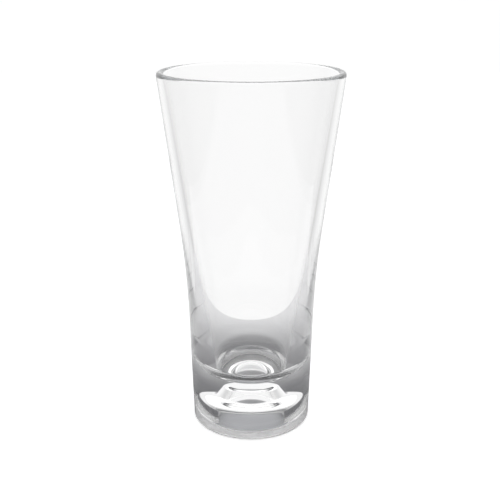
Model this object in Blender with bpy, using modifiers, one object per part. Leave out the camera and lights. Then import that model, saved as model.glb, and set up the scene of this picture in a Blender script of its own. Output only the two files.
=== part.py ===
"""A clear pint glass, modelled as the single moulded piece that it is.

Metres, +Z up. The origin is on the axis of the glass, in the plane that its foot stands on.
The glass is a straight cone above and a nearly straight heavy base below, joined by a long
soft curve. Inside it is one straight cone with a rounded floor. Underneath, the glass stands on
a narrow ring. From the ring its base slopes gently up to a bell-shaped recess: a wide, soft
shoulder with a narrower crown in its middle.
"""

import math

import bpy

NAME = "pint_glass"

# Outside
HEIGHT = 0.1810
RIM_RADIUS = 0.0453
UPPER_DRAFT = 0.1250
FLARE_HEIGHT = 0.0820
FLARE_BLEND = 0.500
BASE_DRAFT = 0.0300
HEEL_ROUND = 0.0014

# Inside
RIM_WALL = 0.0036
LIP_ROUND = 0.0017
INNER_DRAFT = 0.1443
FLOOR_HEIGHT = 0.0266
FLOOR_ROUND = 0.0093

# Underside
FOOT_INNER = 0.0256
FOOT_ROUND = 0.0040
MOUTH_RADIUS = 0.0177
MOUTH_HEIGHT = 0.0006
MOUTH_ROUND = 0.0015
SHOULDER_RADIUS = 0.0175
SHOULDER_HEIGHT = 0.0119
SHOULDER_ROUND = 0.0046
KNEE_RADIUS = 0.0120
KNEE_HEIGHT = 0.0139
KNEE_ROUND = 0.0033
CAP_RADIUS = 0.0088
CAP_HEIGHT = 0.0212
CAP_ROUND = 0.0025

# Mesh
TURN_STEPS = 64
DEGREES_PER_POINT = 15.0
LEAST_ARC_STEPS = 2
MERGE_DISTANCE = 1e-5

# Material
GLASS_COLOUR = (0.96, 0.97, 0.98)
GLASS_ROUGHNESS = 0.02
REFRACTIVE_INDEX = 1.5


def outer_radius(height):
    """The outside of the straight cone above the flare."""
    return RIM_RADIUS - UPPER_DRAFT * (HEIGHT - height)


def foot_radius():
    """Where the base's draft line meets the plane that the glass stands on."""
    return outer_radius(FLARE_HEIGHT) - BASE_DRAFT * FLARE_HEIGHT


def inner_radius(height):
    """The straight cone inside."""
    return RIM_RADIUS - RIM_WALL - INNER_DRAFT * (HEIGHT - height)


def corners():
    """Half of the section, from the middle of the floor up over the lip and down to the recess.

    Each corner is its radius, its height and the radius that it is rounded to.
    """
    floor = (inner_radius(FLOOR_HEIGHT), FLOOR_HEIGHT, FLOOR_ROUND)
    inner_lip = (RIM_RADIUS - RIM_WALL, HEIGHT, LIP_ROUND)
    outer_lip = (RIM_RADIUS, HEIGHT, LIP_ROUND)
    flare = (outer_radius(FLARE_HEIGHT), FLARE_HEIGHT, FLARE_BLEND)
    heel = (foot_radius(), 0.0, HEEL_ROUND)
    foot = (FOOT_INNER, 0.0, FOOT_ROUND)
    mouth = (MOUTH_RADIUS, MOUTH_HEIGHT, MOUTH_ROUND)
    shoulder = (SHOULDER_RADIUS, SHOULDER_HEIGHT, SHOULDER_ROUND)
    knee = (KNEE_RADIUS, KNEE_HEIGHT, KNEE_ROUND)
    cap = (CAP_RADIUS, CAP_HEIGHT, CAP_ROUND)
    inside = [(0.0, FLOOR_HEIGHT, 0.0), floor, inner_lip]
    outside = [outer_lip, flare, heel]
    underside = [foot, mouth, shoulder, knee, cap, (0.0, CAP_HEIGHT, 0.0)]
    return inside + outside + underside


def unit(from_point, to_point):
    """The direction from one point of the section to another."""
    step = (to_point[0] - from_point[0], to_point[1] - from_point[1])
    length = math.hypot(*step)
    return step[0] / length, step[1] / length


def rounded_corner(before, corner, after):
    """The points of the arc that rounds one corner."""
    radius = corner[2]
    back = unit(corner, before)
    onward = unit(corner, after)
    opening = math.acos(back[0] * onward[0] + back[1] * onward[1])
    turn = math.pi - opening
    middle = unit((0.0, 0.0), (back[0] + onward[0], back[1] + onward[1]))
    reach = radius / math.sin(opening / 2)
    centre = (corner[0] + middle[0] * reach, corner[1] + middle[1] * reach)
    side = 1 if back[0] * onward[1] - back[1] * onward[0] < 0 else -1
    first = math.atan2(-middle[1], -middle[0]) - side * turn / 2
    steps = max(LEAST_ARC_STEPS, math.ceil(math.degrees(turn) / DEGREES_PER_POINT))
    angles = [first + side * turn * i / steps for i in range(steps + 1)]
    return [(centre[0] + radius * math.cos(a), centre[1] + radius * math.sin(a)) for a in angles]


def section():
    """The whole half section, with its corners rounded."""
    raw = corners()
    points = [raw[0][:2]]
    for before, corner, after in zip(raw, raw[1:], raw[2:]):
        points += rounded_corner(before, corner, after)
    return points + [raw[-1][:2]]


def clear_material():
    """Clear, colourless, polished glass."""
    material = bpy.data.materials.new("clear_glass")
    material.use_nodes = True
    shader = material.node_tree.nodes["Principled BSDF"]
    shader.inputs["Base Color"].default_value = (*GLASS_COLOUR, 1.0)
    shader.inputs["Metallic"].default_value = 0.0
    shader.inputs["Roughness"].default_value = GLASS_ROUGHNESS
    shader.inputs["IOR"].default_value = REFRACTIVE_INDEX
    shader.inputs["Transmission Weight"].default_value = 1.0
    return material


def turned(name, points, collection):
    """Turns a half section about the Z axis."""
    mesh = bpy.data.meshes.new(name)
    edges = [(i, i + 1) for i in range(len(points) - 1)]
    mesh.from_pydata([(radius, 0.0, height) for radius, height in points], edges, [])
    piece = bpy.data.objects.new(name, mesh)
    collection.objects.link(piece)
    screw = piece.modifiers.new("turn", "SCREW")
    screw.axis = "Z"
    screw.steps = TURN_STEPS
    screw.render_steps = TURN_STEPS
    screw.use_merge_vertices = True
    screw.merge_threshold = MERGE_DISTANCE
    screw.use_smooth_shade = True
    return piece


def main():
    for old in list(bpy.data.objects):
        bpy.data.objects.remove(old, do_unlink=True)
    collection = bpy.data.collections.new(NAME)
    bpy.context.scene.collection.children.link(collection)
    glass = turned("glass_body", section(), collection)
    glass.data.materials.append(clear_material())


main()
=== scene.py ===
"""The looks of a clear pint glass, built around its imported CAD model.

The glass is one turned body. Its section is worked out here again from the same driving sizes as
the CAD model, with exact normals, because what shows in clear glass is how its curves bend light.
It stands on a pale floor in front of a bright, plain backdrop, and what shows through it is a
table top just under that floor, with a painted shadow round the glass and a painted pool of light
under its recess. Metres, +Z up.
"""

import math

import bpy
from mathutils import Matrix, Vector


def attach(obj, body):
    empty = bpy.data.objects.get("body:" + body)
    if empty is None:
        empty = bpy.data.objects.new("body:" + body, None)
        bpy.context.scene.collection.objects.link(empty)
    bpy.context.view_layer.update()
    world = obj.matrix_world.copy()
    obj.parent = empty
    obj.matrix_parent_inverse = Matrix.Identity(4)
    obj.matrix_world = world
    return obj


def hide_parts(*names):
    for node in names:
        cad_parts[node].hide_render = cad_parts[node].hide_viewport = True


# Outside of the glass
HEIGHT = 0.1810
RIM_RADIUS = 0.0453
UPPER_DRAFT = 0.1250
FLARE_HEIGHT = 0.0820
FLARE_BLEND = 0.500
BASE_DRAFT = 0.0300
HEEL_ROUND = 0.0014

# Inside of the glass
RIM_WALL = 0.0036
LIP_ROUND = 0.0017
INNER_DRAFT = 0.1443
FLOOR_HEIGHT = 0.0266
FLOOR_ROUND = 0.0093

# Underside of the glass
FOOT_INNER = 0.0256
FOOT_ROUND = 0.0040
MOUTH_RADIUS = 0.0177
MOUTH_HEIGHT = 0.0006
MOUTH_ROUND = 0.0015
SHOULDER_RADIUS = 0.0175
SHOULDER_HEIGHT = 0.0119
SHOULDER_ROUND = 0.0046
KNEE_RADIUS = 0.0120
KNEE_HEIGHT = 0.0139
KNEE_ROUND = 0.0033
CAP_RADIUS = 0.0088
CAP_HEIGHT = 0.0212
CAP_ROUND = 0.0025

# The fine ring that the mould's core leaves round the floor, with a nick that breaks it
RING_RADIUS = 0.0170
RING_DEPTH = 0.00020
RING_WIDTH = 0.00030
NICK_ANGLE = math.radians(45)
NICK_WIDTH = math.radians(2.2)
RING_MARGIN = 0.0005
RING_STEPS = 6
LEAST_UPWARD = 0.2

# Mesh
TURN_STEPS = 288
DEGREES_PER_POINT = 3.0
LONGEST_STEP = 0.006
LEAST_ARC_STEPS = 4

# Glass
REFRACTIVE_INDEX = 1.5
GLASS_TINT = (1.0, 1.0, 1.0)
ABSORPTION_COLOUR = (0.50, 0.53, 0.55)
ABSORPTION = 1.0
WAVE_SPACING = 0.012
WAVE_DEPTH = 0.000003
WAVE_DETAIL = 1.0
SCUFF_HEIGHT = 0.0013
SCUFF_ROUGHNESS = 0.70
SCUFF_SPACING = 0.0006
SCUFF_SCALE = 60.0
SCUFF_DETAIL = 3.0
WORN_FROM = 0.30
WORN_FULL = 0.60
WORN_LEAST = 0.35

# Floor and table
TABLE_GAP = 0.00015
TABLE_BACK = 0.0975
TABLE_FRONT = -1.6
TABLE_HALF_WIDTH = 0.3
FLOOR_HALF_WIDTH = 1.6
FLOOR_BACK = 1.6
TABLE_THICKNESS = 0.03
TABLE_EDGE_ROUND = 0.002
TABLE_EDGE_STEPS = 4
FLOOR_FILM = 0.00002
FLOOR_COLOUR = (0.92, 0.92, 0.93)
FLOOR_GLOW = 0.38
FLOOR_ROUGHNESS = 0.7
TABLE_ROUGHNESS = 0.6
MATT_SPECULAR = 0.2
# Tones of the hidden table: TABLE_FAR is its plain tone, with a painted shadow round the glass fading
# into it and a painted pool of light under the recess
TABLE_FAR = (0.86, 0.86, 0.87)
TABLE_PAINTED_SHADOW = (0.17, 0.17, 0.18)
TABLE_PAINTED_LIGHT = (0.85, 0.86, 0.89)
PAINTED_LIGHT_FULL = 0.0115
PAINTED_LIGHT_REACH = 0.027
PAINTED_SHADOW_FROM = 0.036
PAINTED_SHADOW_TO = 0.108

# Light
BACKDROP_LIGHT = 1.01
BACKDROP_FROM = 0.45
BACKDROP_FULL = 0.95
ROOM_LIGHT = 0.48
OVERHEAD_LIGHT = 1.00
OVERHEAD_FROM = 0.12
OVERHEAD_FULL = 0.60
TOP_PLACE = (0.0, 0.45, 0.62)
TOP_AIM = (0.0, 0.0, 0.05)
TOP_SIZE = (1.10, 0.55)
TOP_LIGHT = 0.55
LIGHT_BOUNCES = 128

# Camera
CAMERA_PLACE = (0.0, -0.3966, 0.2242)
CAMERA_TILT = 0.3227
CAMERA_SENSOR = 36.0
CAMERA_LENS = 59.4
CAMERA_SHIFT = -0.0024


def outer_radius(height):
    """The outside of the straight cone above the flare."""
    return RIM_RADIUS - UPPER_DRAFT * (HEIGHT - height)


def foot_radius():
    """Where the base's draft line meets the plane that the glass stands on."""
    return outer_radius(FLARE_HEIGHT) - BASE_DRAFT * FLARE_HEIGHT


def inner_radius(height):
    """The straight cone inside."""
    return RIM_RADIUS - RIM_WALL - INNER_DRAFT * (HEIGHT - height)


def corners():
    """Half of the section, from the middle of the floor up over the lip and down to the recess.

    Each corner is its radius, its height and the radius that it is rounded to.
    """
    floor = (inner_radius(FLOOR_HEIGHT), FLOOR_HEIGHT, FLOOR_ROUND)
    inner_lip = (RIM_RADIUS - RIM_WALL, HEIGHT, LIP_ROUND)
    outer_lip = (RIM_RADIUS, HEIGHT, LIP_ROUND)
    flare = (outer_radius(FLARE_HEIGHT), FLARE_HEIGHT, FLARE_BLEND)
    heel = (foot_radius(), 0.0, HEEL_ROUND)
    foot = (FOOT_INNER, 0.0, FOOT_ROUND)
    mouth = (MOUTH_RADIUS, MOUTH_HEIGHT, MOUTH_ROUND)
    shoulder = (SHOULDER_RADIUS, SHOULDER_HEIGHT, SHOULDER_ROUND)
    knee = (KNEE_RADIUS, KNEE_HEIGHT, KNEE_ROUND)
    cap = (CAP_RADIUS, CAP_HEIGHT, CAP_ROUND)
    inside = [(0.0, FLOOR_HEIGHT, 0.0), floor, inner_lip]
    outside = [outer_lip, flare, heel]
    underside = [foot, mouth, shoulder, knee, cap, (0.0, CAP_HEIGHT, 0.0)]
    return inside + outside + underside


def unit(from_point, to_point):
    """The direction from one point of the section to another."""
    step = (to_point[0] - from_point[0], to_point[1] - from_point[1])
    length = math.hypot(*step)
    return step[0] / length, step[1] / length


def rounded_corner(before, corner, after):
    """The arc that rounds one corner: for each point its radius and height, and its normal."""
    radius = corner[2]
    back = unit(corner, before)
    onward = unit(corner, after)
    opening = math.acos(back[0] * onward[0] + back[1] * onward[1])
    turn = math.pi - opening
    middle = unit((0.0, 0.0), (back[0] + onward[0], back[1] + onward[1]))
    reach = radius / math.sin(opening / 2)
    centre = (corner[0] + middle[0] * reach, corner[1] + middle[1] * reach)
    side = 1 if back[0] * onward[1] - back[1] * onward[0] < 0 else -1
    first = math.atan2(-middle[1], -middle[0]) - side * turn / 2
    by_angle = math.degrees(turn) / DEGREES_PER_POINT
    by_length = radius * turn / LONGEST_STEP
    steps = max(LEAST_ARC_STEPS, math.ceil(by_angle), math.ceil(by_length))
    points = []
    for i in range(steps + 1):
        angle = first + side * turn * i / steps
        across, up = math.cos(angle), math.sin(angle)
        points.append((centre[0] + radius * across, centre[1] + radius * up, -side * across, -side * up))
    return points


def between(start, end, steps):
    """The points that divide a run into equal steps, without its ends."""
    return [
        tuple(a + (b - a) * i / steps for a, b in zip(start, end))
        for i in range(1, steps)
    ]


def straight(start, end):
    """The points between two ends of a straight run, which both have its normal."""
    length = math.hypot(end[0] - start[0], end[1] - start[1])
    return between(start, end, max(1, math.ceil(length / LONGEST_STEP)))


def section():
    """The whole half section as radius, height and normal, with its corners rounded."""
    raw = corners()
    arcs = [rounded_corner(*three) for three in zip(raw, raw[1:], raw[2:])]
    points = [(0.0, raw[0][1], 0.0, 1.0)]
    for arc in arcs:
        points += straight(points[-1], arc[0]) + arc
    last = (0.0, raw[-1][1], 0.0, -1.0)
    return points + straight(points[-1], last) + [last]


def scored_floor(points):
    """The section with closer points where the mould's ring crosses the inner fillet."""
    fine = []
    for here, onward in zip(points, points[1:]):
        fine.append(here)
        inside_cup = here[3] > 0 and here[1] < FLOOR_HEIGHT + FLOOR_ROUND
        if inside_cup and abs(here[0] - RING_RADIUS) < 4 * RING_WIDTH + RING_MARGIN:
            fine += between(here, onward, RING_STEPS)
    return fine + [points[-1]]


def ring_groove(point, angle):
    """How far the ring's groove sinks at a point, and how steeply along the section."""
    radius, height, _, up = point
    if up <= 0 or height > FLOOR_HEIGHT + FLOOR_ROUND:
        return 0.0, 0.0
    away = (radius - RING_RADIUS) / max(up, LEAST_UPWARD) / RING_WIDTH
    turned = (angle - NICK_ANGLE + math.pi) % (2 * math.pi) - math.pi
    present = 1 - math.exp(-((turned / NICK_WIDTH) ** 4))
    depth = RING_DEPTH * present * math.exp(-away * away)
    return depth, -2 * away / RING_WIDTH * depth


def turned_glass():
    """The closed mesh of the glass, with the exact normal of its section at each point."""
    points = scored_floor(section())
    vertices, normals, rings = [], [], []
    for point in points:
        radius, height, across, up = point
        if radius == 0.0:
            rings.append([len(vertices)] * TURN_STEPS)
            vertices.append((0.0, 0.0, height))
            normals.append((0.0, 0.0, up))
            continue
        rings.append(list(range(len(vertices), len(vertices) + TURN_STEPS)))
        for i in range(TURN_STEPS):
            angle = 2 * math.pi * i / TURN_STEPS
            cos, sin = math.cos(angle), math.sin(angle)
            depth, slope = ring_groove(point, angle)
            r, z = radius - across * depth, height - up * depth
            n_r, n_z = across + up * slope, up - across * slope
            size = math.hypot(n_r, n_z)
            vertices.append((r * cos, r * sin, z))
            normals.append((n_r * cos / size, n_r * sin / size, n_z / size))
    faces = []
    for upper, lower in zip(rings, rings[1:]):
        for i in range(TURN_STEPS):
            j = (i + 1) % TURN_STEPS
            corners_of_face = [upper[i], lower[i], lower[j], upper[j]]
            # On the axis two of the corners are one point, which is taken once.
            faces.append(list(dict.fromkeys(corners_of_face)))
    mesh = bpy.data.meshes.new("glass")
    mesh.from_pydata(vertices, [], faces)
    mesh.shade_smooth()
    mesh.normals_split_custom_set_from_vertices(normals)
    return mesh


def clear_glass():
    """Clear glass: bright and faintly uneven, with scuffs on the foot that it stands on."""
    material = bpy.data.materials.new("clear_glass")
    material.use_nodes = True
    nodes, links = material.node_tree.nodes, material.node_tree.links
    shader = nodes["Principled BSDF"]
    shader.inputs["Base Color"].default_value = (*GLASS_TINT, 1.0)
    shader.inputs["Metallic"].default_value = 0.0
    shader.inputs["IOR"].default_value = REFRACTIVE_INDEX
    shader.inputs["Transmission Weight"].default_value = 1.0
    place = nodes.new("ShaderNodeTexCoord").outputs["Object"]
    links.new(scuffs(nodes, links, place), shader.inputs["Roughness"])
    links.new(waves(nodes, links, place), shader.inputs["Normal"])
    body = nodes.new("ShaderNodeVolumeAbsorption")
    body.inputs["Color"].default_value = (*ABSORPTION_COLOUR, 1.0)
    body.inputs["Density"].default_value = ABSORPTION
    links.new(body.outputs["Volume"], nodes["Material Output"].inputs["Volume"])
    return material


def scuffs(nodes, links, place):
    """Roughness: none above the foot, and on the foot the fine rings that turning on tables leaves."""
    split = nodes.new("ShaderNodeSeparateXYZ")
    links.new(place, split.inputs["Vector"])
    on_foot = step_between(nodes, 0.5 * SCUFF_HEIGHT, 1.5 * SCUFF_HEIGHT, SCUFF_ROUGHNESS, 0.0)
    links.new(split.outputs["Z"], on_foot.inputs["Value"])
    flat = nodes.new("ShaderNodeVectorMath")
    flat.operation = "MULTIPLY"
    flat.inputs[1].default_value = (1.0, 1.0, 0.0)
    links.new(place, flat.inputs[0])
    radius = nodes.new("ShaderNodeVectorMath")
    radius.operation = "LENGTH"
    links.new(flat.outputs["Vector"], radius.inputs[0])
    rings = nodes.new("ShaderNodeTexNoise")
    rings.noise_dimensions = "4D"
    rings.inputs["Scale"].default_value = SCUFF_SCALE
    rings.inputs["Detail"].default_value = SCUFF_DETAIL
    links.new(place, rings.inputs["Vector"])
    turn = nodes.new("ShaderNodeMath")
    turn.operation = "DIVIDE"
    turn.inputs[1].default_value = SCUFF_SPACING
    links.new(radius.outputs["Value"], turn.inputs[0])
    links.new(turn.outputs["Value"], rings.inputs["W"])
    worn = step_between(nodes, WORN_FROM, WORN_FULL, WORN_LEAST, 1.0)
    links.new(rings.outputs["Fac"], worn.inputs["Value"])
    depth = nodes.new("ShaderNodeMath")
    depth.operation = "MULTIPLY"
    links.new(on_foot.outputs["Result"], depth.inputs[0])
    links.new(worn.outputs["Result"], depth.inputs[1])
    return depth.outputs["Value"]


def waves(nodes, links, place):
    """Normals: the slight unevenness of a pressed surface that was then fire polished."""
    noise = nodes.new("ShaderNodeTexNoise")
    noise.inputs["Scale"].default_value = 1.0 / WAVE_SPACING
    noise.inputs["Detail"].default_value = WAVE_DETAIL
    links.new(place, noise.inputs["Vector"])
    bump = nodes.new("ShaderNodeBump")
    bump.inputs["Strength"].default_value = 1.0
    bump.inputs["Distance"].default_value = WAVE_DEPTH
    links.new(noise.outputs["Fac"], bump.inputs["Height"])
    return bump.outputs["Normal"]


def rounded_slab(name, top, half_width, back, material):
    """A slab under the glass whose top edges are slightly rounded."""
    bpy.ops.mesh.primitive_cube_add(size=1.0)
    slab = bpy.context.object
    slab.name = name
    slab.scale = (2 * half_width, back - TABLE_FRONT, TABLE_THICKNESS)
    slab.location = (0.0, (back + TABLE_FRONT) / 2, top - TABLE_THICKNESS / 2)
    bpy.ops.object.transform_apply(location=True, rotation=True, scale=True)
    bevel = slab.modifiers.new("edges", "BEVEL")
    bevel.width = TABLE_EDGE_ROUND
    bevel.segments = TABLE_EDGE_STEPS
    slab.data.materials.append(material)
    return slab


def floor():
    """A pale floor that is seen directly, over a table top with painted shadow and painted light that
    only the glass picks up.
    """
    pale = rounded_slab("floor", -TABLE_GAP, FLOOR_HALF_WIDTH, FLOOR_BACK, pale_material())
    pale.visible_transmission = False
    pale.visible_glossy = False
    pale.visible_diffuse = False
    pale.visible_shadow = False
    table_top = -TABLE_GAP - FLOOR_FILM
    table = rounded_slab("table", table_top, TABLE_HALF_WIDTH, TABLE_BACK, shadow_painted_table_material())
    table.visible_camera = False


def pale_material():
    """A plain white sheet with a little light of its own, as on a light table."""
    material = bpy.data.materials.new("floor")
    material.use_nodes = True
    shader = material.node_tree.nodes["Principled BSDF"]
    shader.inputs["Base Color"].default_value = (*FLOOR_COLOUR, 1.0)
    shader.inputs["Roughness"].default_value = FLOOR_ROUGHNESS
    shader.inputs["Specular IOR Level"].default_value = MATT_SPECULAR
    shader.inputs["Emission Color"].default_value = (1.0, 1.0, 1.0, 1.0)
    shader.inputs["Emission Strength"].default_value = FLOOR_GLOW
    return material


def shadow_painted_table_material():
    """A matt top: a painted pool of light right under the recess, and a painted shadow round the glass
    that grows paler with distance.
    """
    material = bpy.data.materials.new("table")
    material.use_nodes = True
    nodes, links = material.node_tree.nodes, material.node_tree.links
    shader = nodes["Principled BSDF"]
    shader.inputs["Roughness"].default_value = TABLE_ROUGHNESS
    shader.inputs["Specular IOR Level"].default_value = MATT_SPECULAR
    place = nodes.new("ShaderNodeTexCoord")
    distance = nodes.new("ShaderNodeVectorMath")
    distance.operation = "LENGTH"
    links.new(place.outputs["Object"], distance.inputs[0])
    # Painted shadow: dark round the glass, fading to the plain tone with distance
    painted_shadow = tone_step(nodes, links, distance.outputs["Value"], PAINTED_SHADOW_FROM, PAINTED_SHADOW_TO)
    painted_shadow.inputs["A"].default_value = (*TABLE_PAINTED_SHADOW, 1.0)
    painted_shadow.inputs["B"].default_value = (*TABLE_FAR, 1.0)
    # Painted pool of light right under the recess, where the glass would focus light
    under = tone_step(nodes, links, distance.outputs["Value"], PAINTED_LIGHT_FULL, PAINTED_LIGHT_REACH)
    under.inputs["A"].default_value = (*TABLE_PAINTED_LIGHT, 1.0)
    links.new(painted_shadow.outputs["Result"], under.inputs["B"])
    links.new(under.outputs["Result"], shader.inputs["Base Color"])
    return material


def tone_step(nodes, links, distance, low, high):
    """A soft change from one colour to another with distance."""
    step = step_between(nodes, low, high, 0.0, 1.0)
    links.new(distance, step.inputs["Value"])
    tone = nodes.new("ShaderNodeMix")
    tone.data_type = "RGBA"
    links.new(step.outputs["Result"], tone.inputs["Factor"])
    return tone


def backdrop():
    """A plain lit room: bright behind the glass and overhead, dimmer to the other sides."""
    world = bpy.data.worlds.new("room")
    bpy.context.scene.world = world
    world.use_nodes = True
    nodes, links = world.node_tree.nodes, world.node_tree.links
    place = nodes.new("ShaderNodeTexCoord")
    split = nodes.new("ShaderNodeSeparateXYZ")
    links.new(place.outputs["Generated"], split.inputs["Vector"])
    level = nodes.new("ShaderNodeVectorMath")
    level.operation = "MULTIPLY"
    level.inputs[1].default_value = (1.0, 1.0, 0.0)
    links.new(place.outputs["Generated"], level.inputs[0])
    heading = nodes.new("ShaderNodeVectorMath")
    heading.operation = "NORMALIZE"
    links.new(level.outputs["Vector"], heading.inputs[0])
    around = nodes.new("ShaderNodeSeparateXYZ")
    links.new(heading.outputs["Vector"], around.inputs["Vector"])
    behind = step_between(nodes, BACKDROP_FROM, BACKDROP_FULL, ROOM_LIGHT, BACKDROP_LIGHT)
    overhead = step_between(nodes, OVERHEAD_FROM, OVERHEAD_FULL, 0.0, 1.0)
    links.new(around.outputs["Y"], behind.inputs["Value"])
    links.new(split.outputs["Z"], overhead.inputs["Value"])
    mix = nodes.new("ShaderNodeMix")
    links.new(overhead.outputs["Result"], mix.inputs["Factor"])
    links.new(behind.outputs["Result"], mix.inputs["A"])
    mix.inputs["B"].default_value = OVERHEAD_LIGHT
    links.new(mix.outputs["Result"], nodes["Background"].inputs["Strength"])
    nodes["Background"].inputs["Color"].default_value = (1.0, 1.0, 1.0, 1.0)


def step_between(nodes, low, high, at_low, at_high):
    """A soft step from one value to another."""
    step = nodes.new("ShaderNodeMapRange")
    step.interpolation_type = "SMOOTHSTEP"
    step.inputs["From Min"].default_value = low
    step.inputs["From Max"].default_value = high
    step.inputs["To Min"].default_value = at_low
    step.inputs["To Max"].default_value = at_high
    return step


def soft_light(name, place, aim, size, radiance):
    """A rectangular soft lamp that faces a point. Only the glass picks it up, as glints."""
    data = bpy.data.lights.new(name, "AREA")
    data.shape = "RECTANGLE"
    data.size, data.size_y = size
    data.energy = radiance * math.pi * size[0] * size[1]
    lamp = bpy.data.objects.new(name, data)
    bpy.context.scene.collection.objects.link(lamp)
    lamp.location = place
    lamp.rotation_mode = "QUATERNION"
    lamp.rotation_quaternion = (Vector(aim) - Vector(place)).to_track_quat("-Z", "Y")
    lamp.visible_camera = False
    lamp.visible_diffuse = False


def camera():
    """The camera, level from side to side and tilted down at the glass."""
    data = bpy.data.cameras.new("camera")
    data.sensor_width = CAMERA_SENSOR
    data.lens = CAMERA_LENS
    data.shift_x = CAMERA_SHIFT
    eye = bpy.data.objects.new("camera", data)
    bpy.context.scene.collection.objects.link(eye)
    eye.location = CAMERA_PLACE
    eye.rotation_euler = (math.pi / 2 - CAMERA_TILT, 0.0, 0.0)
    bpy.context.scene.camera = eye


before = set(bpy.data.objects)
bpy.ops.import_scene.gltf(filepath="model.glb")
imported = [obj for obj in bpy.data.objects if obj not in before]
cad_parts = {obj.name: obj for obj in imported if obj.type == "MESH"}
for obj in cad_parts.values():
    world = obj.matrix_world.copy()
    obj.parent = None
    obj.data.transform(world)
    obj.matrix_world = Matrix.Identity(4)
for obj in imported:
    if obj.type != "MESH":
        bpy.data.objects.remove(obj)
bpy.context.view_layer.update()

glass = bpy.data.objects.new("glass", turned_glass())
bpy.context.scene.collection.objects.link(glass)
glass.data.materials.append(clear_glass())
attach(glass, "root")
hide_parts("glass_body")

floor()
backdrop()
soft_light("top", TOP_PLACE, TOP_AIM, TOP_SIZE, TOP_LIGHT)
camera()

scene = bpy.context.scene
scene.view_settings.view_transform = "Standard"
scene.cycles.max_bounces = LIGHT_BOUNCES
scene.cycles.transmission_bounces = LIGHT_BOUNCES
scene.cycles.glossy_bounces = LIGHT_BOUNCES
